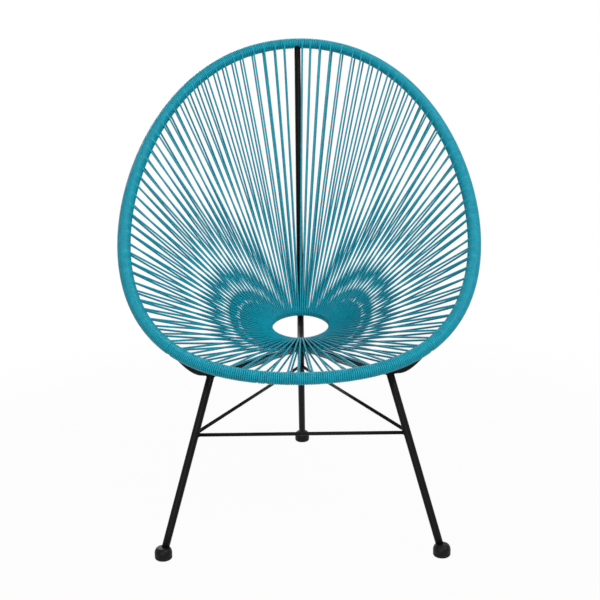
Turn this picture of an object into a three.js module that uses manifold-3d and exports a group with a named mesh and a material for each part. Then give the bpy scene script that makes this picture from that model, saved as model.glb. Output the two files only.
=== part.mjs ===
// Strung lounge chair: an egg-shaped steel hoop and a small centre ring, with plastic cord
// strung between them in two layers to make a bucket seat, on a black three-legged tube base.
// Millimetres. -Y is the front and +Z is up. +X is the right side seen from the front, and the
// names of the pieces take left and right in the same way.
// The origin is on the floor, under the middle of the chair.

import * as THREE from 'three';
import { mergeVertices } from 'three/addons/utils/BufferGeometryUtils.js';
import Module from 'manifold-3d';

const wasm = await Module();
wasm.setup();

// Hoop centreline: an egg seen from the front, a shallow S seen from the side
const hoopHalfWidth = 346;
const hoopBackHeight = 882;
const hoopFrontHeight = 339;
const hoopBackReach = 394.5;
const hoopFrontReach = 383.5;
const hoopFlankForward = 103;
const hoopFlankDrop = 100;
const hoopShoulderLift = 9.2;
const hoopWidthShares = [0.9556, 0.0872, -0.0315];
const hoopDepthFlowShare = 0.0333;
const hoopHeightFlowShare = 0.0413;
const hoopTubeRadius = 8;

// Centre ring, under the sitter
const ringHoleRadius = 59;
const ringCentreY = 57.5;
const ringCentreHeight = 310.5;
const ringTubeRadius = 7;
const ringTiltDegrees = 13.3;

// Plastic cord, strung in runs from rim to ring and back, and wound round the hoop
const cordDiameter = 3.6;
const cordCount = 100;
const turnsBetweenPasses = 7;
const turnsBesideSpine = 3;
const unevenPassEvery = 4;
const windingExtraAtFlanks = 1.6;
const ringAdvanceShare = 0.9;
const cordTuck = 3.2;

// Frame tubes and rods
const frameTubeRadius = 7;
const braceRodRadius = 3.3;

// Where the base stands
const frontFootHalfSpan = 253;
const frontFootReach = 390;
const rearFootReach = 197.4;
const rearLegForwardSlope = 0.576;
const braceHeight = 217.5;

// Seat cradle, the bent tube under the seat
const cradleInset = 69.1;
const cradleSetback = 9.5;
const cradleHang = 47.4;
const cradleApexHeight = 264.5;
const cradleBendLength = 24;
const cradleApexBendLength = 50;
const cradleNotchShare = 0.405;
const cradleDropOutward = 33.4;
const cradleDropForward = 1;
const cradleDropRise = 3;
const cradleDropEntryLength = 34.6;
const cradleDropExitLength = 14.5;

// Spine, from the top of the hoop down behind the cords and forward under the ring
const spineEndReach = 32;
const spineSeatLength = 24;
const spineFootBendLength = 17;
const spineHeelLength = 20;
const spineBendLength = 35;
const spineHookLength = 30;
const spineHookBendLength = 14;
const spineExtraAtRing = 2;

// Feet
const footRadius = 16;
const footHeight = 23;
const footNeckRadius = 9;
const footEdgeRadius = 4.5;
const footShoulderHeight = 12;
const footGrooveHeight = 6.5;
const footGrooveHalfWidth = 0.9;
const footGrooveDepth = 0.8;
const footSocketFloor = 8;

// Fits
const seatGap = 0.3;

// Facets
const hoopStations = 52;
const hoopLengthDivisions = 800;
const ringStations = 40;
const cradleStations = 60;
const spineStations = 36;
const tubeSides = 8;
const cordSides = 3;
const roundSides = 12;
const rodSides = 8;
const footSides = 24;
const footEdgeSteps = 3;
const footShoulderSteps = 5;

const ringTilt = THREE.MathUtils.degToRad(ringTiltDegrees);
const cordRadius = cordDiameter / 2;
const windingRadius = hoopTubeRadius + cordDiameter;
const ringRadius = ringHoleRadius + cordDiameter + ringTubeRadius;

function finish(color, roughness, metalness) {
  return new THREE.MeshStandardMaterial({ color, roughness, metalness });
}

const cordMaterial = finish('#2b93a6', 0.42, 0);
const steelMaterial = finish('#1b1b1d', 0.45, 0.3);
const rubberMaterial = finish('#232325', 0.7, 0);

const chair = new THREE.Group();

function addPart(name, geometry, material) {
  const mesh = new THREE.Mesh(geometry, material);
  mesh.name = name;
  chair.add(mesh);
  return mesh;
}

// Solids and geometries

function toSolid(geometry) {
  const bare = geometry.clone();
  for (const extra of ['normal', 'uv']) {
    bare.deleteAttribute(extra);
  }
  const merged = mergeVertices(bare);
  return new wasm.Manifold(new wasm.Mesh({
    numProp: 3,
    vertProperties: new Float32Array(merged.attributes.position.array),
    triVerts: new Uint32Array(merged.index.array),
  }));
}

function toGeometry(solid) {
  const mesh = solid.getMesh();
  const geometry = new THREE.BufferGeometry();
  geometry.setAttribute('position', new THREE.BufferAttribute(new Float32Array(mesh.vertProperties), 3));
  geometry.setIndex(new THREE.BufferAttribute(new Uint32Array(mesh.triVerts), 1));
  geometry.computeVertexNormals();
  return geometry;
}

function cut(geometry, ...tools) {
  return toGeometry(tools.reduce((solid, tool) => solid.subtract(toSolid(tool)), toSolid(geometry)));
}

function circleShape(radius, sides) {
  const shape = new THREE.Shape();
  for (let side = 0; side < sides; side += 1) {
    const angle = (side / sides) * 2 * Math.PI;
    const x = radius * Math.cos(angle);
    const y = radius * Math.sin(angle);
    if (side === 0) {
      shape.moveTo(x, y);
    } else {
      shape.lineTo(x, y);
    }
  }
  shape.closePath();
  return shape;
}

// A tube or rod of constant section along an open curve
function tubeAlong(path, radius, steps, sides = roundSides) {
  return new THREE.ExtrudeGeometry(circleShape(radius, sides), { steps, extrudePath: path, bevelEnabled: false });
}

function straightTube(from, to, radius, sides = roundSides) {
  return tubeAlong(new THREE.LineCurve3(from, to), radius, 1, sides);
}

// A run of straight lines whose inner corners are rounded, each from an entry length before it
// to an exit length after it
function bentPath(corners, bendLengths) {
  const path = new THREE.CurvePath();
  let start = corners[0];
  for (let index = 1; index < corners.length - 1; index += 1) {
    const corner = corners[index];
    const [entry, exit] = bendLengths[index - 1];
    const enter = corner.clone().add(corners[index - 1].clone().sub(corner).setLength(entry));
    const leave = corner.clone().add(corners[index + 1].clone().sub(corner).setLength(exit));
    path.add(new THREE.LineCurve3(start, enter));
    path.add(new THREE.QuadraticBezierCurve3(enter, corner, leave));
    start = leave;
  }
  path.add(new THREE.LineCurve3(start, corners[corners.length - 1]));
  return path;
}

// A skin over a list of rings of points, capped at both ends or closed on itself
function skin(rings, closed = false) {
  const sides = rings[0].length;
  const positions = rings.flat().flatMap((point) => point.toArray());
  const triangles = [];
  const spans = closed ? rings.length : rings.length - 1;
  for (let span = 0; span < spans; span += 1) {
    const low = span * sides;
    const high = ((span + 1) % rings.length) * sides;
    for (let side = 0; side < sides; side += 1) {
      const next = (side + 1) % sides;
      triangles.push(low + side, low + next, high + next);
      triangles.push(low + side, high + next, high + side);
    }
  }
  if (!closed) {
    const last = (rings.length - 1) * sides;
    for (let side = 1; side < sides - 1; side += 1) {
      triangles.push(0, side + 1, side);
      triangles.push(last, last + side, last + side + 1);
    }
  }
  const geometry = new THREE.BufferGeometry();
  geometry.setAttribute('position', new THREE.Float32BufferAttribute(positions, 3));
  geometry.setIndex(triangles);
  geometry.computeVertexNormals();
  return geometry;
}

// A hollow sleeve between an outer and an inner list of rings, closed with flat ends
function sleeve(outer, inner) {
  const sides = outer[0].length;
  const count = outer.length;
  const positions = [...outer.flat(), ...inner.flat()].flatMap((point) => point.toArray());
  const triangles = [];
  const inside = count * sides;
  const quad = (a, b, c, d) => triangles.push(a, b, c, a, c, d);
  for (let side = 0; side < sides; side += 1) {
    const next = (side + 1) % sides;
    for (let span = 0; span < count - 1; span += 1) {
      const low = span * sides;
      const high = low + sides;
      quad(low + side, low + next, high + next, high + side);
      quad(inside + low + next, inside + low + side, inside + high + side, inside + high + next);
    }
    const last = (count - 1) * sides;
    quad(next, side, inside + side, inside + next);
    quad(last + side, last + next, inside + last + next, inside + last + side);
  }
  const geometry = new THREE.BufferGeometry();
  geometry.setAttribute('position', new THREE.Float32BufferAttribute(positions, 3));
  geometry.setIndex(triangles);
  return geometry;
}

function sectionRing(centre, tangent, reference, radius, sides) {
  const first = reference.clone().addScaledVector(tangent, -reference.dot(tangent)).normalize();
  const second = new THREE.Vector3().crossVectors(tangent, first);
  return Array.from({ length: sides }, (_, side) => {
    const angle = (side / sides) * 2 * Math.PI;
    return centre.clone()
      .addScaledVector(first, radius * Math.cos(angle))
      .addScaledVector(second, radius * Math.sin(angle));
  });
}

// A cord along straight runs, with mitred corners, so that it keeps its thickness at every turn
function cordAlong(points, reference, radius) {
  const headings = points.slice(1).map((point, index) => point.clone().sub(points[index]).normalize());
  let ring = sectionRing(points[0], headings[0], reference, radius, cordSides);
  const rings = [ring];
  for (let index = 1; index < points.length; index += 1) {
    const heading = headings[index - 1];
    const onward = headings[Math.min(index, headings.length - 1)];
    const plane = heading.clone().add(onward).normalize();
    const corner = points[index];
    ring = ring.map((point) => {
      const travel = corner.clone().sub(point).dot(plane) / heading.dot(plane);
      return point.clone().addScaledVector(heading, travel);
    });
    rings.push(ring);
  }
  return skin(rings);
}

// Hoop

class HoopCurve extends THREE.Curve {
  getPoint(share, target = new THREE.Vector3()) {
    const angle = share * 2 * Math.PI;
    const cosine = Math.cos(angle);
    const bulge = Math.sin(angle) ** 2;
    const ripple = cosine - Math.cos(3 * angle);
    const waves = hoopWidthShares.map((part, index) => part * Math.sin((index + 1) * angle));
    const width = waves.reduce((sum, wave) => sum + wave, 0);
    const depthMiddle = (hoopBackReach - hoopFrontReach) / 2;
    const depthHalf = (hoopBackReach + hoopFrontReach) / 2;
    const heightMiddle = (hoopBackHeight + hoopFrontHeight) / 2;
    const heightHalf = (hoopBackHeight - hoopFrontHeight) / 2;
    return target.set(
      hoopHalfWidth * width,
      depthMiddle + depthHalf * (cosine + hoopDepthFlowShare * ripple) - hoopFlankForward * bulge,
      heightMiddle + heightHalf * (cosine + hoopHeightFlowShare * ripple) - hoopFlankDrop * bulge
        + hoopShoulderLift * Math.sin(2 * angle) ** 2,
    );
  }
}

const hoop = new HoopCurve();
hoop.arcLengthDivisions = hoopLengthDivisions;
const ringCentre = new THREE.Vector3(0, ringCentreY, ringCentreHeight);
const ringAxis = new THREE.Vector3(0, -Math.sin(ringTilt), Math.cos(ringTilt));

// One section of the hoop or of its winding, at one of the hoop's stations
function stationSection(station, radius) {
  const share = (station % hoopStations) / hoopStations;
  const centre = hoop.getPointAt(share);
  const inward = ringCentre.clone().sub(centre).normalize();
  return sectionRing(centre, hoop.getTangentAt(share), inward, radius, tubeSides);
}

// A section anywhere on the hoop, on the straight line between its two nearest stations
function hoopSection(share, radius) {
  const place = share * hoopStations;
  const station = Math.floor(place);
  const onward = stationSection(station + 1, radius);
  return stationSection(station, radius).map((point, side) => point.lerp(onward[side], place - station));
}

// Radius of a faceted tube whose flats and corners straddle the true radius
function facetedRadius(radius) {
  return radius / Math.cos(Math.PI / tubeSides / 2);
}

function windingRadiusAt(share) {
  return windingRadius + windingExtraAtFlanks * Math.sin(2 * Math.PI * share) ** 2;
}

const hoopShares = Array.from({ length: hoopStations }, (_, station) => station / hoopStations);
const hoopGeometry = skin(hoopShares.map((share) => hoopSection(share, facetedRadius(hoopTubeRadius))), true);

// Centre ring

function ringOutward(angle) {
  return new THREE.Vector3(
    Math.sin(angle),
    Math.cos(angle) * Math.cos(ringTilt),
    Math.cos(angle) * Math.sin(ringTilt),
  );
}

function ringPoint(angle) {
  return ringCentre.clone().addScaledVector(ringOutward(angle), ringRadius);
}

const ringProfile = Array.from({ length: tubeSides + 1 }, (_, side) => {
  const angle = (side / tubeSides) * 2 * Math.PI;
  return new THREE.Vector2(ringRadius + ringTubeRadius * Math.cos(angle), ringTubeRadius * Math.sin(angle));
});
const ringGeometry = new THREE.LatheGeometry(ringProfile, ringStations);
ringGeometry.rotateX(Math.PI / 2 + ringTilt);
ringGeometry.translate(...ringCentre.toArray());

// Seat cradle: hoop, leg top, apex under the ring, leg top, hoop

function mirrored(point) {
  return new THREE.Vector3(-point.x, point.y, point.z);
}

function rearLegPoint(height) {
  return new THREE.Vector3(0, rearFootReach - rearLegForwardSlope * (height - footSocketFloor), height);
}

const notchCentre = hoop.getPointAt(cradleNotchShare);
const legTop = notchCentre.clone().add(new THREE.Vector3(-cradleInset, cradleSetback, -cradleHang));
const legRight = new THREE.Vector3(frontFootHalfSpan, -frontFootReach, footSocketFloor);

function frontLegPoint(height) {
  return legRight.clone().lerp(legTop, (height - legRight.z) / (legTop.z - legRight.z));
}

const cradleDrop = legTop.clone().add(new THREE.Vector3(cradleDropOutward, -cradleDropForward, cradleDropRise));
const apexTop = rearLegPoint(cradleApexHeight);

// A corner that the rounded path passes at the wanted point
function cornerFor(passing, before, after, bend) {
  const back = before.clone().sub(passing).setLength(bend / 4);
  const onward = after.clone().sub(passing).setLength(bend / 4);
  return passing.clone().sub(back.add(onward));
}

const legCorner = legTop.clone().add(legTop.clone().sub(cradleDrop).setLength(cradleBendLength));
const apexCorner = cornerFor(apexTop, legCorner, mirrored(legCorner), cradleApexBendLength);
const cradlePath = bentPath(
  [
    notchCentre, cradleDrop, legCorner, apexCorner,
    mirrored(legCorner), mirrored(cradleDrop), mirrored(notchCentre),
  ],
  [
    [cradleDropEntryLength, cradleDropExitLength],
    [cradleBendLength, cradleBendLength],
    [cradleApexBendLength, cradleApexBendLength],
    [cradleBendLength, cradleBendLength],
    [cradleDropExitLength, cradleDropEntryLength],
  ],
);
const cradleTube = tubeAlong(cradlePath, frameTubeRadius, cradleStations);
const cradleCutter = tubeAlong(cradlePath, frameTubeRadius + seatGap, cradleStations);

const hoopCutter = skin(
  hoopShares.map((share) => hoopSection(share, facetedRadius(hoopTubeRadius + seatGap))),
  true,
);

addPart('hoop_tube', hoopGeometry, steelMaterial);
addPart('ring_tube', ringGeometry, steelMaterial);
addPart('seat_cradle', cut(cradleTube, hoopCutter), steelMaterial);

// Spine

const spineBackDirection = hoop.getPointAt(0).sub(ringPoint(0)).normalize();
const spineBehind = new THREE.Vector3().crossVectors(hoop.getTangentAt(0), spineBackDirection).negate();
const spineOffset = cordDiameter + seatGap + frameTubeRadius;
const spineTop = hoop.getPointAt(0).addScaledVector(spineBehind, hoopTubeRadius + spineOffset);
const spineLow = ringPoint(0).addScaledVector(spineBehind, ringTubeRadius + spineOffset + spineExtraAtRing);
const spineHook = spineTop.clone().add(spineLow.clone().sub(spineTop).setLength(spineHookLength));
const spineCorner = spineLow.clone().add(spineLow.clone().sub(spineTop).setLength(spineHeelLength));
const spineEndHeight = cradleApexHeight + 2 * frameTubeRadius + seatGap;
const spineEnd = new THREE.Vector3(0, spineEndReach, spineEndHeight);
const spineSeat = new THREE.Vector3(0, apexTop.y + spineSeatLength, spineEndHeight);
const spinePath = bentPath(
  [hoop.getPointAt(0), spineHook, spineCorner, spineSeat, spineEnd],
  [
    [spineHookBendLength, spineHookBendLength],
    [spineBendLength, spineBendLength],
    [spineFootBendLength, spineFootBendLength],
  ],
);
const spineTube = tubeAlong(spinePath, frameTubeRadius, spineStations);
const spineCutter = tubeAlong(spinePath, frameTubeRadius + seatGap, spineStations);
addPart('spine_tube', cut(spineTube, hoopCutter), steelMaterial);

// Legs, braces and feet

const legSocketRadius = frameTubeRadius + seatGap;

function legTube(bottom, top) {
  return cut(straightTube(bottom, top, frameTubeRadius), cradleCutter);
}

// Points of a quarter of an ellipse about a centre, from one bearing to the next quarter
function quarterArc(centreX, centreY, reachX, reachY, startQuarter, steps) {
  return Array.from({ length: steps + 1 }, (_, step) => {
    const angle = (startQuarter + step / steps) * (Math.PI / 2);
    return new THREE.Vector2(centreX + reachX * Math.cos(angle), centreY + reachY * Math.sin(angle));
  });
}

// A turned rubber cap: a flat base with a rounded edge, a groove above it and a domed shoulder
function footGeometry(bottom, top) {
  const baseRadius = footRadius - footEdgeRadius;
  const shoulderReach = footRadius - footNeckRadius;
  const shoulderRise = footHeight - footShoulderHeight;
  const profile = [
    new THREE.Vector2(0, 0),
    ...quarterArc(baseRadius, footEdgeRadius, footEdgeRadius, footEdgeRadius, -1, footEdgeSteps),
    new THREE.Vector2(footRadius, footGrooveHeight - footGrooveHalfWidth),
    new THREE.Vector2(footRadius - footGrooveDepth, footGrooveHeight),
    new THREE.Vector2(footRadius, footGrooveHeight + footGrooveHalfWidth),
    ...quarterArc(footNeckRadius, footShoulderHeight, shoulderReach, shoulderRise, 0, footShoulderSteps),
    new THREE.Vector2(0, footHeight),
  ];
  const foot = new THREE.LatheGeometry(profile, footSides);
  foot.rotateX(Math.PI / 2);
  foot.translate(bottom.x, bottom.y, 0);
  const lift = top.clone().sub(bottom).setLength(seatGap);
  return cut(foot, straightTube(bottom.clone().sub(lift), top, legSocketRadius));
}

function addFoot(name, bottom, top) {
  addPart(name, footGeometry(bottom, top), rubberMaterial);
}

const legRear = rearLegPoint(footSocketFloor);
addPart('front_leg_left', legTube(mirrored(legRight), mirrored(legTop)), steelMaterial);
addPart('front_leg_right', legTube(legRight, legTop), steelMaterial);
addPart('rear_leg', legTube(legRear, apexTop), steelMaterial);
addFoot('foot_front_left', mirrored(legRight), mirrored(legTop));
addFoot('foot_front_right', legRight, legTop);
addFoot('foot_rear', legRear, apexTop);

const legCutters = [
  straightTube(mirrored(legRight), mirrored(legTop), legSocketRadius),
  straightTube(legRight, legTop, legSocketRadius),
  straightTube(legRear, apexTop, legSocketRadius),
];

// A rod between two legs, whose ends are cut to the legs' round walls
function braceRod(from, to, cutters) {
  return cut(straightTube(from, to, braceRodRadius, rodSides), ...cutters);
}

const braceLeft = mirrored(frontLegPoint(braceHeight));
const braceRight = frontLegPoint(braceHeight);
const braceRear = rearLegPoint(braceHeight);
const braceSplit = new THREE.Vector3(0, 2 * braceRodRadius + seatGap, 0);
addPart('brace_front', braceRod(braceLeft, braceRight, legCutters), steelMaterial);
addPart('brace_left', braceRod(braceLeft.clone().add(braceSplit), braceRear, legCutters), steelMaterial);
addPart('brace_right', braceRod(braceRight.clone().add(braceSplit), braceRear, legCutters), steelMaterial);

// Cords

// Where each pass meets the rim, in turns of the winding: the first beside the spine, the middle
// one of the front beside the joint between two lengths, and one in four on each side a turn
// further from the top, as the hand-wound rim has it
const windingTurns = cordCount * turnsBetweenPasses;
const frontIndex = cordCount / 2;

function rimShare(index) {
  if (index === 0) {
    return turnsBesideSpine / windingTurns;
  }
  if (index > frontIndex) {
    return 1 - rimShare(cordCount - index);
  }
  const extraTurn = index === frontIndex || index % unevenPassEvery === 1 ? 1 : 0;
  return (index * turnsBetweenPasses + extraTurn) / windingTurns;
}

// One pass of the cord: rim to ring along the front layer, round the ring, back along the rear layer
function cordPass(index) {
  const share = rimShare(index);
  const angle = (index / cordCount) * 2 * Math.PI;
  const advance = ringAdvanceShare * Math.sin(2 * Math.PI * share) * ((2 * Math.PI) / cordCount);
  const rim = hoop.getPointAt(share);
  const inward = ringPoint(angle).sub(rim).normalize();
  const rearward = new THREE.Vector3().crossVectors(hoop.getTangentAt(share), inward).normalize();
  const reach = windingRadiusAt(share) - cordRadius;
  // The wrap's three corners stand off, so that its straight stretches clear the ring's tube
  const wrapRadius = (ringTubeRadius + cordRadius + seatGap) / Math.cos(Math.PI / 6);
  const outward = ringOutward(angle);
  const slope = Math.atan2(-inward.dot(ringAxis), -inward.dot(outward));
  const turns = [2 / 3, 1, 4 / 3].map((turn, step) => {
    const around = angle + (advance * step) / 2;
    const bearing = Math.PI * turn + slope;
    return ringPoint(around)
      .addScaledVector(ringOutward(around), wrapRadius * Math.cos(bearing))
      .addScaledVector(ringAxis, wrapRadius * Math.sin(bearing));
  });
  const tucked = rim.clone().addScaledVector(inward, cordTuck);
  const front = tucked.clone().addScaledVector(rearward, -reach);
  const rear = tucked.clone().addScaledVector(rearward, reach);
  return cordAlong([front, ...turns, rear], rearward.clone().negate(), cordRadius);
}

// One length of cord: its stretch of winding on the hoop, and the passes that it makes to the ring
function cordLength(first, last, startShare, endShare) {
  const between = hoopShares.filter((share) => share > startShare && share < endShare);
  const shares = [startShare, ...between, endShare];
  const outer = shares.map((share) => hoopSection(share, facetedRadius(windingRadiusAt(share))));
  const inner = shares.map((share) => hoopSection(share, facetedRadius(hoopTubeRadius + seatGap)));
  let solid = toSolid(sleeve(outer, inner));
  for (let index = first; index <= last; index += 1) {
    solid = solid.add(toSolid(cordPass((index + cordCount) % cordCount)));
  }
  return toGeometry(solid.subtract(toSolid(spineCutter)).subtract(toSolid(cradleCutter)));
}

const windingGapShare = seatGap / hoop.getLength() / 2;

// The lengths of the right half, from the top of the back to the front, as counts of passes
const lengthNames = ['crown', 'back', 'shoulder', 'side', 'flank', 'front'];
const lengthEndShares = [0.085, 0.165, 0.245, 0.325, cradleNotchShare, 0.5];

lengthNames.forEach((name, order) => {
  const startShare = order === 0 ? 0 : lengthEndShares[order - 1];
  const endShare = lengthEndShares[order];
  const start = startShare + windingGapShare;
  const end = endShare - windingGapShare;
  const first = Math.ceil(startShare * cordCount + (order === 0 ? 0 : windingGapShare));
  const last = Math.ceil(endShare * cordCount) - 1;
  addPart(`cord_${name}_right`, cordLength(first, last, start, end), cordMaterial);
  const mirroredFirst = order === 0 ? 1 : first;
  const mirroredLast = name === 'front' ? last + 1 : last;
  addPart(`cord_${name}_left`, cordLength(-mirroredLast, -mirroredFirst, 1 - end, 1 - start), cordMaterial);
});

export default chair;
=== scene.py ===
import bisect
import math

import bpy
from mathutils import Matrix, Vector


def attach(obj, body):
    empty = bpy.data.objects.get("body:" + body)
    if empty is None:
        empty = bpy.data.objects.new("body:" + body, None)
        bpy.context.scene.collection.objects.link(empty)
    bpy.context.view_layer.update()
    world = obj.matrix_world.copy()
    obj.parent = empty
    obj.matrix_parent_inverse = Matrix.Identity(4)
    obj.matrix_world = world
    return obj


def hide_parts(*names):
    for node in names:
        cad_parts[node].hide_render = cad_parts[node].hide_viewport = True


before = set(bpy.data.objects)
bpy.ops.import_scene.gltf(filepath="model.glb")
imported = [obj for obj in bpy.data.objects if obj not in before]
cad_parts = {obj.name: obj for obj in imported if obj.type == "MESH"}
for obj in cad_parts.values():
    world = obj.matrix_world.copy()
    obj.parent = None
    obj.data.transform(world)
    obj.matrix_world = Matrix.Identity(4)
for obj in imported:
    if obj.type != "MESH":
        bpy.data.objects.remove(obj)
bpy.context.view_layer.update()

# Strung lounge chair. Sizes are in millimetres, in the CAD's own frame: -Y is the front and +Z is
# up. Left and right are as seen from the front. The tubes, the rod and the ring's hole are given
# by their radius and the cord by its thickness. The lamps and the floor are in metres
METRES = 0.001
FULL_TURN = 2 * math.pi
QUARTER_TURN = math.pi / 2

# Camera: where the photograph was taken from, fitted to the rim, the ring, the legs and the feet
CAMERA_PLACE = Vector((9.6, -2406.4, 1002.0))
CAMERA_YAW = math.radians(0.23)
CAMERA_PITCH = math.radians(14.43)
CAMERA_ROLL = math.radians(-0.77)
FOCAL_PIXELS = 1210.14
PHOTO_PIXELS = 600.0
SENSOR_WIDTH = 36.0
FARTHEST_SEEN = 50.0

# Hoop centreline: an egg seen from the front, a shallow S seen from the side
HOOP_HALF_WIDTH = 346.0
HOOP_BACK_HEIGHT = 882.0
HOOP_FRONT_HEIGHT = 339.0
HOOP_BACK_REACH = 394.5
HOOP_FRONT_REACH = 383.5
HOOP_FLANK_FORWARD = 103.0
HOOP_FLANK_DROP = 100.0
HOOP_SHOULDER_LIFT = 9.2
HOOP_WIDTH_SHARES = (0.9556, 0.0872, -0.0315)
HOOP_DEPTH_FLOW_SHARE = 0.0333
HOOP_HEIGHT_FLOW_SHARE = 0.0413
HOOP_TUBE = 8.0

# Centre ring
RING_HOLE = 59.0
RING_CENTRE = Vector((0.0, 57.5, 310.5))
RING_TUBE = 7.0
RING_TILT = math.radians(13.3)

# Cord: its thickness in the CAD, along a stretched run and in a wound turn
CORD = 3.6
RUN_CORD = 3.95
WOUND_CORD = 3.74
CLEARANCE = 0.3

# Winding: how much prouder it stands at the flanks, and a turn's swelling on its inner side
WINDING_EXTRA = 1.6
INNER_SWELL = 0.32

# Stringing: the hoop's length is parted into slots. A slot holds a pass or a turn of the winding
PASSES = 100
TURNS_PER_PASS = 7
SPINE_SLOT = 3
UNEVEN_EVERY = 4
RING_ADVANCE_SHARE = 0.9

# Lengths of cord on the right half, as shares of the hoop's length from the top of the back. The
# notch is where the cradle meets the hoop
NOTCH_SHARE = 0.405
LENGTH_SHARES = {
    "crown": (0.0, 0.085),
    "back": (0.085, 0.165),
    "shoulder": (0.165, 0.245),
    "side": (0.245, 0.325),
    "flank": (0.325, NOTCH_SHARE),
    "front": (NOTCH_SHARE, 0.5),
}

# Turns that lie sunk in the winding, where the photograph shows dark ticks on the rim
SEAM_SLOTS = (283, 284, 366, 370, 416, 417)
SEAM_DEPTH = 0.9

# Base
TUBE = 7.0
ROD = 3.3
FRONT_SPAN = 253.0
FRONT_REACH = 390.0
REAR_REACH = 197.4
REAR_FORWARD_SLOPE = 0.576
SOCKET_FLOOR = 8.0
BRACE_HEIGHT = 217.5

# Seat cradle: the step from the notch to a front leg's top, and from there to the corner under the
# rim. A bend is how far before and after its corner the rounding starts and ends
LEG_TOP_OFFSET = Vector((-69.1, 9.5, -47.4))
DROP_OFFSET = Vector((33.4, -1.0, 3.0))
DROP_BEND = (34.6, 14.5)
LEG_BEND = 24.0
APEX_BEND = 50.0
APEX_HEIGHT = 264.5

# Spine: the corners below the hoop, below the ring and behind the cradle's apex, and the end
SPINE_HOOK_DROP = 30.0
SPINE_HEEL_DROP = 20.0
SPINE_SEAT_BEHIND = 24.0
SPINE_END_REACH = 32.0
SPINE_RING_SPACE = 2.0
SPINE_HOOK_BEND = 14.0
SPINE_HEEL_BEND = 35.0
SPINE_SEAT_BEND = 17.0

# Welds: how far the end of a tube reaches into the hoop's, and the radius of a bead
WELD_REACH = 2.0
WELD_BEAD = 1.3
WELD_RIPPLE = 0.15

# Feet: turned rubber caps with a groove
FOOT_RADIUS = 16.0
FOOT_HEIGHT = 23.0
FOOT_NECK_RADIUS = 9.0
FOOT_SHOULDER_HEIGHT = 12.0
FOOT_EDGE = 4.5
FOOT_BASE_RIM = 0.5
FOOT_TOP_RIM = 1.0
FOOT_GROOVE_HEIGHT = 6.5
FOOT_GROOVE_HALF_WIDTH = 1.1
FOOT_GROOVE_DEPTH = 0.8

# Measuring along the hoop
HOOP_LENGTH_STEPS = 3600
HEADING_SHARE = 0.0004

# Facets, and the fewest points that a cut turn of the winding is kept with
HOOP_STATIONS = 240
RING_STATIONS = 96
TUBE_SIDES = 32
ROD_SIDES = 20
CORD_SIDES = 10
TURN_STEPS = 36
FEWEST_POINTS = 3
RIM_STEPS = 8
WRAP_STEPS = 12
RUN_STEPS = 4
BEND_STEPS = 12
STRAIGHT_STEP = 24.0
LEG_STEPS = 8
WELD_STEPS = 48
WELD_RIPPLE_STEPS = 4
WELD_SIDES = 8
FOOT_SIDES = 64
FOOT_EDGE_STEPS = 6
FOOT_GROOVE_HALF_STEPS = 3
FOOT_SHOULDER_STEPS = 12
UPRIGHT_SHARE = 0.8

# Surface detail, in the noise's own scale and in metres
NOISE_DETAIL = 3.0
NOISE_LOW = 0.3
NOISE_HIGH = 0.7
BUMP_HEIGHT = 0.0004

# Studio, in metres and watts: for each lamp its place, what it faces, its side and its power
LAMPS = {
    "key": ((1.8, -1.9, 2.8), (0, 0, 0.5), 1.4, 66),
    "fill": ((-0.6, -3.2, 0.6), (0, 0, 0.5), 1.8, 40),
    "top": ((0, 0.4, 3.2), (0, 0, 0.5), 2.0, 19),
    "back": ((-1.3, 2.9, 1.7), (0, 0, 0.45), 1.6, 40),
}
WHITE = (1, 1, 1, 1)
WORLD_LIGHT = 0.35
FLOOR_CORNERS = ((-6, -4, 0), (6, -4, 0), (6, 8, 0), (-6, 8, 0))
FLOOR_GREY = (0.45, 0.45, 0.45, 1)
FLOOR_ROUGHNESS = 0.9
FLOOR_SPECULAR = 0.1
FLOOR_WHITE_SHARE = 0.96
FLOOR_FADE_START = 0.5
FLOOR_FADE_END = 1.4


# Camera

def make_camera():
    right = Vector((1, 0, 0))
    upward = Vector((0, math.sin(CAMERA_PITCH), math.cos(CAMERA_PITCH)))
    backward = Vector((0, -math.cos(CAMERA_PITCH), math.sin(CAMERA_PITCH)))
    rolled_right = right * math.cos(CAMERA_ROLL) + upward * math.sin(CAMERA_ROLL)
    rolled_up = upward * math.cos(CAMERA_ROLL) - right * math.sin(CAMERA_ROLL)
    basis = Matrix((rolled_right, rolled_up, backward)).transposed()
    basis = Matrix.Rotation(CAMERA_YAW, 3, "Z") @ basis
    data = bpy.data.cameras.new("camera")
    data.sensor_width = SENSOR_WIDTH
    data.lens = SENSOR_WIDTH * FOCAL_PIXELS / PHOTO_PIXELS
    data.clip_end = FARTHEST_SEEN
    camera = bpy.data.objects.new("camera", data)
    camera.matrix_world = Matrix.Translation(CAMERA_PLACE * METRES) @ basis.to_4x4()
    bpy.context.scene.collection.objects.link(camera)
    bpy.context.scene.camera = camera


make_camera()


# Materials

def linear(value):
    """An 8-bit sRGB value as the linear share that a shader takes."""
    share = value / 255
    return share / 12.92 if share <= 0.04045 else ((share + 0.055) / 1.055) ** 2.4


def colour(red, green, blue):
    return (linear(red), linear(green), linear(blue), 1.0)


def add_node(tree, kind, values=None, **settings):
    """A shader node, with its settings and then the values of its inputs."""
    node = tree.nodes.new("ShaderNode" + kind)
    for name, value in settings.items():
        setattr(node, name, value)
    for name, value in (values or {}).items():
        node.inputs[name].default_value = value
    return node


def join(tree, source, output, target, socket):
    tree.links.new(source.outputs[output], target.inputs[socket])


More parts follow.
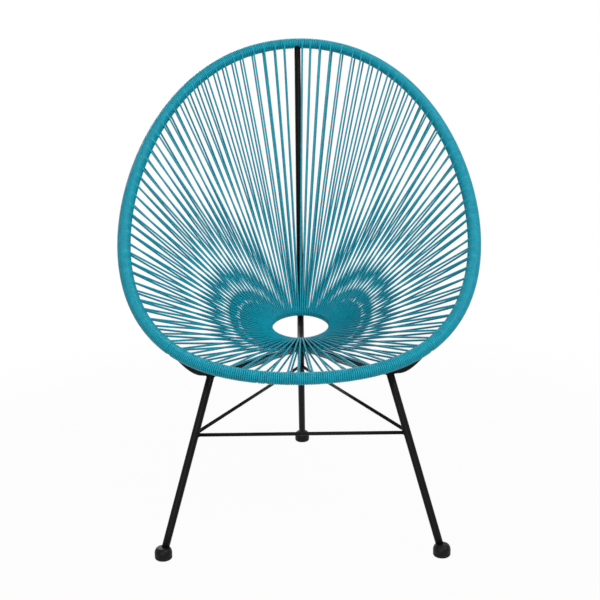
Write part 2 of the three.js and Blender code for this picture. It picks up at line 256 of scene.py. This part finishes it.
def surface(name, low, high, roughness, spread, grain, bump, specular):
    """A material whose colour, roughness and height all vary with one fine noise."""
    material = bpy.data.materials.new(name)
    material.use_nodes = True
    tree = material.node_tree
    shader = tree.nodes["Principled BSDF"]
    shader.inputs["Specular IOR Level"].default_value = specular
    place = add_node(tree, "TexCoord")
    noise = add_node(tree, "TexNoise", {"Scale": grain, "Detail": NOISE_DETAIL})
    tone = add_node(tree, "MapRange", {"From Min": NOISE_LOW, "From Max": NOISE_HIGH})
    mix = add_node(tree, "Mix", {"A": low, "B": high}, data_type="RGBA")
    rough = add_node(tree, "MapRange", {"To Min": roughness - spread, "To Max": roughness + spread})
    lift = add_node(tree, "Bump", {"Strength": bump, "Distance": BUMP_HEIGHT})
    join(tree, place, "Object", noise, "Vector")
    join(tree, noise, "Fac", tone, "Value")
    join(tree, tone, "Result", mix, "Factor")
    join(tree, mix, "Result", shader, "Base Color")
    join(tree, noise, "Fac", rough, "Value")
    join(tree, rough, "Result", shader, "Roughness")
    join(tree, noise, "Fac", lift, "Height")
    join(tree, lift, "Normal", shader, "Normal")
    return material


CORD_PAINT = surface(
    "teal_vinyl", low=colour(0, 135, 156), high=colour(0, 152, 173),
    roughness=0.33, spread=0.06, grain=90.0, bump=0.15, specular=0.24,
)
STEEL_PAINT = surface(
    "black_powder_coat", low=colour(6, 6, 6), high=colour(11, 11, 11),
    roughness=0.45, spread=0.06, grain=900.0, bump=0.3, specular=0.1,
)
RUBBER = surface(
    "black_rubber", low=colour(6, 6, 6), high=colour(13, 13, 13),
    roughness=0.44, spread=0.06, grain=500.0, bump=0.3, specular=0.14,
)


# Meshes

def cross_directions(points, closed):
    """For each of the points, two directions across their line that follow it without a twist."""
    count = len(points)
    headings = []
    for index in range(count):
        if closed:
            step = points[(index + 1) % count] - points[index - 1]
        else:
            step = points[min(index + 1, count - 1)] - points[max(index - 1, 0)]
        headings.append(step.normalized())
    side = Vector((0, 0, 1)) if abs(headings[0].z) < UPRIGHT_SHARE else Vector((1, 0, 0))
    pairs = []
    for heading in headings:
        side = (side - heading * side.dot(heading)).normalized()
        pairs.append((side, heading.cross(side)))
    return pairs


class Skin:
    """The vertices and faces of one piece."""

    def __init__(self):
        self.vertices = []
        self.faces = []

    def add_walls(self, start, rows, sides, closed=False):
        """The faces between rings of vertices, and two ends unless the last meets the first."""
        for row in range(rows if closed else rows - 1):
            low = start + row * sides
            high = start + ((row + 1) % rows) * sides
            for side in range(sides):
                onward = (side + 1) % sides
                self.faces.append((low + side, low + onward, high + onward, high + side))
        if not closed:
            last = start + (rows - 1) * sides
            self.faces.append(tuple(start + side for side in reversed(range(sides))))
            self.faces.append(tuple(last + side for side in range(sides)))

    def add_tube(self, points, radii, sides, closed=False):
        """A round tube along the points, with a radius for each."""
        start = len(self.vertices)
        for point, radius, (first, second) in zip(points, radii, cross_directions(points, closed)):
            for side in range(sides):
                turn = FULL_TURN * side / sides
                across = first * math.cos(turn) + second * math.sin(turn)
                self.vertices.append(point + across * radius)
        self.add_walls(start, len(points), sides, closed)

    def add_turned(self, profile, place, sides):
        """A turned form that stands at a place. The profile is (radius, height), from below."""
        start = len(self.vertices)
        for radius, height in profile:
            for side in range(sides):
                turn = FULL_TURN * side / sides
                across = Vector((radius * math.cos(turn), radius * math.sin(turn), height))
                self.vertices.append(place + across)
        self.add_walls(start, len(profile), sides)


def make(node, skin, material):
    """The piece that stands in the scene for a node of the CAD."""
    mesh = bpy.data.meshes.new(node + "_detail")
    mesh.from_pydata([tuple(point * METRES) for point in skin.vertices], [], skin.faces)
    mesh.update()
    mesh.shade_smooth()
    mesh.materials.append(material)
    piece = bpy.data.objects.new(node + "_detail", mesh)
    bpy.context.scene.collection.objects.link(piece)
    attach(piece, "root")
    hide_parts(node)


# Routes of tubes

def straight(start, end):
    """Points along a straight line, without its end."""
    count = max(1, int((end - start).length / STRAIGHT_STEP))
    return [start.lerp(end, step / count) for step in range(count)]


def rounded(enter, corner, leave):
    """Points along the curve that rounds a corner, without its end."""
    points = []
    for step in range(BEND_STEPS):
        share = step / BEND_STEPS
        rest = 1 - share
        points.append(enter * rest ** 2 + corner * 2 * share * rest + leave * share ** 2)
    return points


def even(bend):
    """A bend that starts as far before its corner as it ends after it."""
    return (bend, bend)


def bent(corners, bends):
    """Points along straight lines whose inner corners are rounded by the bends."""
    points = []
    start = corners[0]
    for before, corner, after, (approach, departure) in zip(corners, corners[1:], corners[2:], bends):
        enter = corner + (before - corner).normalized() * approach
        leave = corner + (after - corner).normalized() * departure
        points += straight(start, enter) + rounded(enter, corner, leave)
        start = leave
    return points + straight(start, corners[-1]) + [corners[-1]]


def corner_for(passing, before, after, bend):
    """The corner whose rounding has its middle at a wanted point, or close to it.

    That middle lies a quarter of the bend off the corner, along both lines.
    """
    pull = (before - passing).normalized() + (after - passing).normalized()
    return passing - pull * (bend / 4)


def mirrored(point):
    return Vector((-point.x, point.y, point.z))


# Centrelines of the hoop and the ring

def hoop_raw(angle):
    """The hoop's centreline, from the top of the back round its right side."""
    cosine = math.cos(angle)
    bulge = math.sin(angle) ** 2
    ripple = cosine - math.cos(3 * angle)
    waves = [share * math.sin(order * angle) for order, share in enumerate(HOOP_WIDTH_SHARES, 1)]
    depth = cosine + HOOP_DEPTH_FLOW_SHARE * ripple
    rise = cosine + HOOP_HEIGHT_FLOW_SHARE * ripple
    return Vector((
        HOOP_HALF_WIDTH * sum(waves),
        (HOOP_BACK_REACH - HOOP_FRONT_REACH) / 2
        + (HOOP_BACK_REACH + HOOP_FRONT_REACH) / 2 * depth
        - HOOP_FLANK_FORWARD * bulge,
        (HOOP_BACK_HEIGHT + HOOP_FRONT_HEIGHT) / 2
        + (HOOP_BACK_HEIGHT - HOOP_FRONT_HEIGHT) / 2 * rise
        - HOOP_FLANK_DROP * bulge
        + HOOP_SHOULDER_LIFT * math.sin(2 * angle) ** 2,
    ))


def hoop_lengths():
    """The hoop's length up to each of its steps."""
    sums = [0.0]
    here = hoop_raw(0.0)
    for step in range(1, HOOP_LENGTH_STEPS + 1):
        onward = hoop_raw(FULL_TURN * step / HOOP_LENGTH_STEPS)
        sums.append(sums[-1] + (onward - here).length)
        here = onward
    return sums


LENGTHS_ALONG = hoop_lengths()
HOOP_LENGTH = LENGTHS_ALONG[-1]


def hoop_at(share):
    """The hoop's centreline at a share of its length."""
    goal = share % 1.0 * HOOP_LENGTH
    low = bisect.bisect_right(LENGTHS_ALONG, goal) - 1
    part = (goal - LENGTHS_ALONG[low]) / (LENGTHS_ALONG[low + 1] - LENGTHS_ALONG[low])
    return hoop_raw(FULL_TURN * (low + part) / HOOP_LENGTH_STEPS)


def hoop_heading(share):
    return (hoop_at(share + HEADING_SHARE) - hoop_at(share - HEADING_SHARE)).normalized()


RING_RADIUS = RING_HOLE + CORD + RING_TUBE
RING_AXIS = Vector((0.0, -math.sin(RING_TILT), math.cos(RING_TILT)))


def ring_outward(angle):
    lean = math.cos(angle)
    return Vector((math.sin(angle), lean * math.cos(RING_TILT), lean * math.sin(RING_TILT)))


def ring_point(angle):
    return RING_CENTRE + ring_outward(angle) * RING_RADIUS


# Places of the legs, the cradle and the spine

def front_leg(height):
    share = (height - SOCKET_FLOOR) / (leg_top.z - SOCKET_FLOOR)
    return front_bottom.lerp(leg_top, share)


def rear_leg(height):
    return Vector((0.0, REAR_REACH - REAR_FORWARD_SLOPE * (height - SOCKET_FLOOR), height))


notch = hoop_at(NOTCH_SHARE)
leg_top = notch + LEG_TOP_OFFSET
front_bottom = Vector((FRONT_SPAN, -FRONT_REACH, SOCKET_FLOOR))
drop = leg_top + DROP_OFFSET
apex = rear_leg(APEX_HEIGHT)
leg_corner = leg_top + (leg_top - drop).normalized() * LEG_BEND
apex_corner = corner_for(apex, leg_corner, mirrored(leg_corner), APEX_BEND)

spine_along = (hoop_at(0) - ring_point(0)).normalized()
spine_behind = -hoop_heading(0).cross(spine_along)
spine_space = CORD + CLEARANCE + TUBE
spine_top = hoop_at(0) + spine_behind * (HOOP_TUBE + spine_space)
spine_low = ring_point(0) + spine_behind * (RING_TUBE + spine_space + SPINE_RING_SPACE)
spine_down = (spine_low - spine_top).normalized()
spine_hook = spine_top + spine_down * SPINE_HOOK_DROP
spine_heel = spine_low + spine_down * SPINE_HEEL_DROP
spine_height = APEX_HEIGHT + 2 * TUBE + CLEARANCE
spine_seat = Vector((0, apex.y + SPINE_SEAT_BEHIND, spine_height))
spine_end = Vector((0, SPINE_END_REACH, spine_height))


# Cord

CORD_RADIUS = CORD / 2
SLOTS = PASSES * TURNS_PER_PASS

# The tubes that the winding leaves room for, each from the hoop's centre to its first corner
ROOTS = [(hoop_at(0), spine_hook), (notch, drop), (mirrored(notch), mirrored(drop))]


def winding_radius(share):
    return HOOP_TUBE + CORD + WINDING_EXTRA * math.sin(FULL_TURN * share) ** 2


def rim_slot(index):
    """The turn that a pass takes: the first beside the spine, one in four a turn further on."""
    if index == 0:
        return SPINE_SLOT
    if index > PASSES // 2:
        return SLOTS - rim_slot(PASSES - index)
    extra = 1 if index == PASSES // 2 or index % UNEVEN_EVERY == 1 else 0
    return index * TURNS_PER_PASS + extra


PASS_SLOTS = {rim_slot(index) for index in range(PASSES)}


def rim_quarter(centre, flat, across, reach):
    """A quarter of a turn round the hoop, from its outer side to where a run leaves it."""
    points = []
    for step in range(RIM_STEPS + 1):
        turn = QUARTER_TURN * step / RIM_STEPS
        points.append(centre - flat * (reach * math.cos(turn)) + across * (reach * math.sin(turn)))
    return points


def ring_wrap(angle, advance, inward):
    """Half a turn round the ring's tube, during which the cord moves on along the ring."""
    reach = RING_TUBE + CLEARANCE + CORD_RADIUS
    slope = math.atan2(-inward.dot(RING_AXIS), -inward.dot(ring_outward(angle)))
    points = []
    for step in range(WRAP_STEPS + 1):
        share = step / WRAP_STEPS
        bearing = slope + QUARTER_TURN + math.pi * share
        around = angle + advance * share
        outward = ring_outward(around) * (reach * math.cos(bearing))
        points.append(ring_point(around) + outward + RING_AXIS * (reach * math.sin(bearing)))
    return points


def between(start, end):
    """The points inside a straight run."""
    return [start.lerp(end, step / RUN_STEPS) for step in range(1, RUN_STEPS)]


def pass_points(index):
    """One pass, a loop, with its radius at each point.

    It goes over the front of the rim to the ring, round the ring and back behind the rim.
    """
    share = rim_slot(index) / SLOTS
    angle = FULL_TURN * index / PASSES
    advance = RING_ADVANCE_SHARE * math.sin(FULL_TURN * share) * FULL_TURN / PASSES
    centre = hoop_at(share)
    heading = hoop_heading(share)
    inward = (ring_point(angle) - centre).normalized()
    rearward = heading.cross(inward).normalized()
    flat = rearward.cross(heading).normalized()
    reach = winding_radius(share) - WOUND_CORD / 2
    front = rim_quarter(centre, flat, -rearward, reach)
    wrap = ring_wrap(angle, advance, inward)
    rear = rim_quarter(centre, flat, rearward, reach)[::-1]
    points = front + between(front[-1], wrap[0]) + wrap + between(wrap[-1], rear[0]) + rear[:-1]
    wound = [WOUND_CORD / 2]
    run = [RUN_CORD / 2] * RUN_STEPS
    radii = wound * RIM_STEPS + run + wound * (WRAP_STEPS + 1) + run + wound * (RIM_STEPS - 1)
    return points, radii


def lean_at(place):
    """How far a turn leans along the hoop on its inner side, in slots.

    The passes leave for the ring there, and the turns between two of them spread to close up.
    """
    before = max(slot for slot in PASS_SLOTS | {SPINE_SLOT - TURNS_PER_PASS} if slot <= place)
    after = min(slot for slot in PASS_SLOTS | {SLOTS + SPINE_SLOT} if slot > place)
    turns = after - before - 1
    order = place - before
    return (order - 0.5) * (turns + 1) / turns - order


def turn_points(place):
    """One turn of the winding, a loop round the hoop, with its radius at each point."""
    share = place / SLOTS
    centre = hoop_at(share)
    heading = hoop_heading(share)
    inward = RING_CENTRE - centre
    inward = (inward - heading * inward.dot(heading)).normalized()
    rearward = heading.cross(inward)
    sunk = SEAM_DEPTH if place in SEAM_SLOTS else 0.0
    reach = winding_radius(share) - WOUND_CORD / 2 - sunk
    lean = lean_at(place) * HOOP_LENGTH / SLOTS
    points = []
    radii = []
    for step in range(TURN_STEPS):
        turn = FULL_TURN * step / TURN_STEPS
        inner_share = (1 + math.cos(turn)) / 2
        across = inward * (reach * math.cos(turn)) + rearward * (reach * math.sin(turn))
        points.append(centre + heading * (lean * inner_share) + across)
        radii.append(WOUND_CORD / 2 + INNER_SWELL * inner_share)
    return points, radii


def clears_roots(point):
    """Whether a cord at a point stays off the tubes that are welded to the hoop."""
    for start, end in ROOTS:
        span = end - start
        share = max(0.0, min(1.0, (point - start).dot(span) / span.length_squared))
        if (point - start.lerp(end, share)).length < TUBE + CORD_RADIUS:
            return False
    return True


def around_roots(points, radii):
    """The part of a loop that stays off the welded tubes, and whether that is all of it."""
    clear = [clears_roots(point) for point in points]
    if all(clear):
        return points, radii, True
    if not any(clear):
        return [], [], False
    start = next(index for index in range(len(points)) if clear[index] and not clear[index - 1])
    stop = (clear[start:] + clear[:start]).index(False)
    kept_points = (points[start:] + points[:start])[:stop]
    kept_radii = (radii[start:] + radii[:start])[:stop]
    return kept_points, kept_radii, False


def cord_length(node, passes, start, end):
    """One length of cord: its passes, and its winding between two shares of the hoop's length."""
    skin = Skin()
    for index in passes:
        points, radii = pass_points(index)
        skin.add_tube(points, radii, CORD_SIDES, closed=True)
    for place in range(math.ceil(start * SLOTS), math.ceil(end * SLOTS)):
        if place in PASS_SLOTS:
            continue
        points, radii, whole = around_roots(*turn_points(place))
        if len(points) >= FEWEST_POINTS:
            skin.add_tube(points, radii, CORD_SIDES, closed=whole)
    make(node, skin, CORD_PAINT)


def string_seat():
    """The twelve lengths. The pass beside the spine is on the right, that at the front on the left."""
    for name, (start, end) in LENGTH_SHARES.items():
        first = math.ceil(start * PASSES)
        last = math.ceil(end * PASSES) - 1
        cord_length(f"cord_{name}_right", range(first, last + 1), start, end)
        lowest = PASSES - (last + 1 if name == "front" else last)
        highest = PASSES - max(first, 1)
        cord_length(f"cord_{name}_left", range(lowest, highest + 1), 1 - end, 1 - start)


string_seat()


# Tubes and rods

def weld_loop(start, heading, radius, other_start, other_heading):
    """The line where a tube that runs on from its start comes out of another one of TUBE radius."""
    heading = heading.normalized()
    other = other_heading.normalized()
    side = heading.orthogonal().normalized()
    cross = heading.cross(side)
    slide = heading - other * heading.dot(other)
    square = slide.length_squared
    points = []
    for step in range(WELD_STEPS):
        turn = FULL_TURN * step / WELD_STEPS
        place = start + (side * math.cos(turn) + cross * math.sin(turn)) * radius
        apart = (place - other_start) - other * (place - other_start).dot(other)
        toward = apart.dot(slide)
        root = math.sqrt(max(0.0, toward ** 2 - square * (apart.length_squared - TUBE ** 2)))
        points.append(place + heading * ((root - toward) / square))
    return points


def steel(node, points, radius, sides=TUBE_SIDES, closed=False, welds=()):
    """A painted tube or rod, with the weld beads at its ends."""
    skin = Skin()
    skin.add_tube(points, [radius] * len(points), sides, closed)
    waves = [math.sin(FULL_TURN * step / WELD_RIPPLE_STEPS) for step in range(WELD_STEPS)]
    bead_radii = [WELD_BEAD + WELD_RIPPLE * wave for wave in waves]
    for loop in welds:
        skin.add_tube(loop, bead_radii, WELD_SIDES, closed=True)
    make(node, skin, STEEL_PAINT)


def off_hoop(centre, onward):
    """Where a tube from the hoop to a corner starts, inside the hoop's own tube."""
    return centre + (onward - centre).normalized() * (HOOP_TUBE - WELD_REACH)


# Hoop and ring

hoop_shares = [station / HOOP_STATIONS for station in range(HOOP_STATIONS)]
ring_angles = [FULL_TURN * station / RING_STATIONS for station in range(RING_STATIONS)]
steel("hoop_tube", [hoop_at(share) for share in hoop_shares], HOOP_TUBE, closed=True)
steel("ring_tube", [ring_point(angle) for angle in ring_angles], RING_TUBE, closed=True)


# Seat cradle and spine

cradle_half = [off_hoop(notch, drop), drop, leg_corner]
cradle_corners = cradle_half + [apex_corner] + [mirrored(corner) for corner in cradle_half[::-1]]
cradle_bends = [DROP_BEND, even(LEG_BEND), even(APEX_BEND), even(LEG_BEND), DROP_BEND[::-1]]
steel("seat_cradle", bent(cradle_corners, cradle_bends), TUBE)

spine_start = off_hoop(hoop_at(0), spine_hook)
spine_corners = [spine_start, spine_hook, spine_heel, spine_seat, spine_end]
spine_bends = [even(SPINE_HOOK_BEND), even(SPINE_HEEL_BEND), even(SPINE_SEAT_BEND)]
steel("spine_tube", bent(spine_corners, spine_bends), TUBE)


# Legs and braces

# Each leg has its bottom, its top and the heading of the cradle's tube there
LEGS = {
    "front_leg_left": (mirrored(front_bottom), mirrored(leg_top), mirrored(leg_top - drop)),
    "front_leg_right": (front_bottom, leg_top, leg_top - drop),
    "rear_leg": (rear_leg(SOCKET_FLOOR), apex, Vector((1, 0, 0))),
}


def leg(node):
    bottom, top, cradle_heading = LEGS[node]
    points = [bottom.lerp(top, step / LEG_STEPS) for step in range(LEG_STEPS + 1)]
    steel(node, points, TUBE, welds=[weld_loop(top, bottom - top, TUBE, top, cradle_heading)])


def brace_weld(place, heading, leg_node):
    bottom, top, _ = LEGS[leg_node]
    return weld_loop(place, heading, ROD, bottom, top - bottom)


def brace(node, start, start_leg, end, end_leg):
    """A rod between two legs."""
    welds = [brace_weld(start, end - start, start_leg), brace_weld(end, start - end, end_leg)]
    steel(node, [start, end], ROD, ROD_SIDES, welds=welds)


for leg_node in LEGS:
    leg(leg_node)

# The side braces meet the front legs behind the front brace
brace_right = front_leg(BRACE_HEIGHT)
brace_left = mirrored(brace_right)
brace_rear = rear_leg(BRACE_HEIGHT)
behind = Vector((0, 2 * ROD + CLEARANCE, 0))
brace("brace_front", brace_left, "front_leg_left", brace_right, "front_leg_right")
brace("brace_left", brace_left + behind, "front_leg_left", brace_rear, "rear_leg")
brace("brace_right", brace_right + behind, "front_leg_right", brace_rear, "rear_leg")


# Feet

def foot_profile():
    """Radius and height: a flat base with a round edge, a groove and a domed shoulder."""
    base = FOOT_RADIUS - FOOT_EDGE
    profile = [(base - FOOT_BASE_RIM, 0)]
    for step in range(FOOT_EDGE_STEPS + 1):
        turn = QUARTER_TURN * step / FOOT_EDGE_STEPS
        profile.append((base + FOOT_EDGE * math.sin(turn), FOOT_EDGE - FOOT_EDGE * math.cos(turn)))
    for step in range(-FOOT_GROOVE_HALF_STEPS, FOOT_GROOVE_HALF_STEPS + 1):
        share = step / FOOT_GROOVE_HALF_STEPS
        radius = FOOT_RADIUS - FOOT_GROOVE_DEPTH * math.cos(share * QUARTER_TURN) ** 2
        profile.append((radius, FOOT_GROOVE_HEIGHT + FOOT_GROOVE_HALF_WIDTH * share))
    for step in range(FOOT_SHOULDER_STEPS + 1):
        turn = QUARTER_TURN * step / FOOT_SHOULDER_STEPS
        profile.append((
            FOOT_NECK_RADIUS + (FOOT_RADIUS - FOOT_NECK_RADIUS) * math.cos(turn),
            FOOT_SHOULDER_HEIGHT + (FOOT_HEIGHT - FOOT_SHOULDER_HEIGHT) * math.sin(turn),
        ))
    return profile + [(FOOT_NECK_RADIUS - FOOT_TOP_RIM, FOOT_HEIGHT)]


def foot(node, leg_bottom):
    skin = Skin()
    skin.add_turned(foot_profile(), Vector((leg_bottom.x, leg_bottom.y, 0)), FOOT_SIDES)
    make(node, skin, RUBBER)


foot("foot_front_left", mirrored(front_bottom))
foot("foot_front_right", front_bottom)
foot("foot_rear", rear_leg(SOCKET_FLOOR))


# Studio

def seen_directly(tree):
    """A node that is 1 where the camera, a mirror or a glass sees the point, and 0 elsewhere."""
    path = add_node(tree, "LightPath")
    either = add_node(tree, "Math", operation="MAXIMUM")
    any_of = add_node(tree, "Math", operation="MAXIMUM")
    join(tree, path, "Is Camera Ray", either, 0)
    join(tree, path, "Is Glossy Ray", either, 1)
    join(tree, either, 0, any_of, 0)
    join(tree, path, "Is Transmission Ray", any_of, 1)
    return any_of


def floor_material():
    """White where it is seen, with a little of the lit floor near the chair for its shadow."""
    material = bpy.data.materials.new("studio_white")
    material.use_nodes = True
    tree = material.node_tree
    shader = tree.nodes["Principled BSDF"]
    shader.inputs["Base Color"].default_value = FLOOR_GREY
    shader.inputs["Roughness"].default_value = FLOOR_ROUGHNESS
    shader.inputs["Specular IOR Level"].default_value = FLOOR_SPECULAR
    place = add_node(tree, "NewGeometry")
    distance = add_node(tree, "VectorMath", operation="LENGTH")
    fade = add_node(tree, "MapRange", {
        "From Min": FLOOR_FADE_START,
        "From Max": FLOOR_FADE_END,
        "To Min": FLOOR_WHITE_SHARE,
    }, interpolation_type="SMOOTHSTEP")
    amount = add_node(tree, "Math", operation="MULTIPLY")
    glow = add_node(tree, "Emission", {"Color": WHITE, "Strength": 1})
    blend = add_node(tree, "MixShader")
    join(tree, place, "Position", distance, 0)
    join(tree, distance, "Value", fade, "Value")
    join(tree, seen_directly(tree), 0, amount, 0)
    join(tree, fade, "Result", amount, 1)
    join(tree, amount, 0, blend, "Fac")
    join(tree, shader, 0, blend, 1)
    join(tree, glow, 0, blend, 2)
    join(tree, blend, 0, tree.nodes["Material Output"], "Surface")
    return material


def make_floor():
    mesh = bpy.data.meshes.new("floor")
    mesh.from_pydata(FLOOR_CORNERS, [], [(0, 1, 2, 3)])
    mesh.materials.append(floor_material())
    floor = bpy.data.objects.new("floor", mesh)
    bpy.context.scene.collection.objects.link(floor)


def make_world():
    """A white room that is dimmer as a light than as it is seen."""
    world = bpy.data.worlds.new("studio")
    bpy.context.scene.world = world
    world.use_nodes = True
    tree = world.node_tree
    background = tree.nodes["Background"]
    background.inputs["Color"].default_value = WHITE
    level = add_node(tree, "MapRange", {"To Min": WORLD_LIGHT})
    join(tree, seen_directly(tree), 0, level, "Value")
    join(tree, level, "Result", background, "Strength")


def make_lamp(name, place, target, side, power):
    data = bpy.data.lights.new(name, "AREA")
    data.shape = "SQUARE"
    data.size = side
    data.energy = power
    lamp = bpy.data.objects.new(name, data)
    lamp.location = place
    lamp.rotation_euler = (Vector(target) - Vector(place)).to_track_quat("-Z", "Y").to_euler()
    bpy.context.scene.collection.objects.link(lamp)


make_floor()
make_world()
for lamp_name, settings in LAMPS.items():
    make_lamp(lamp_name, *settings)
bpy.context.scene.view_settings.view_transform = "Standard"
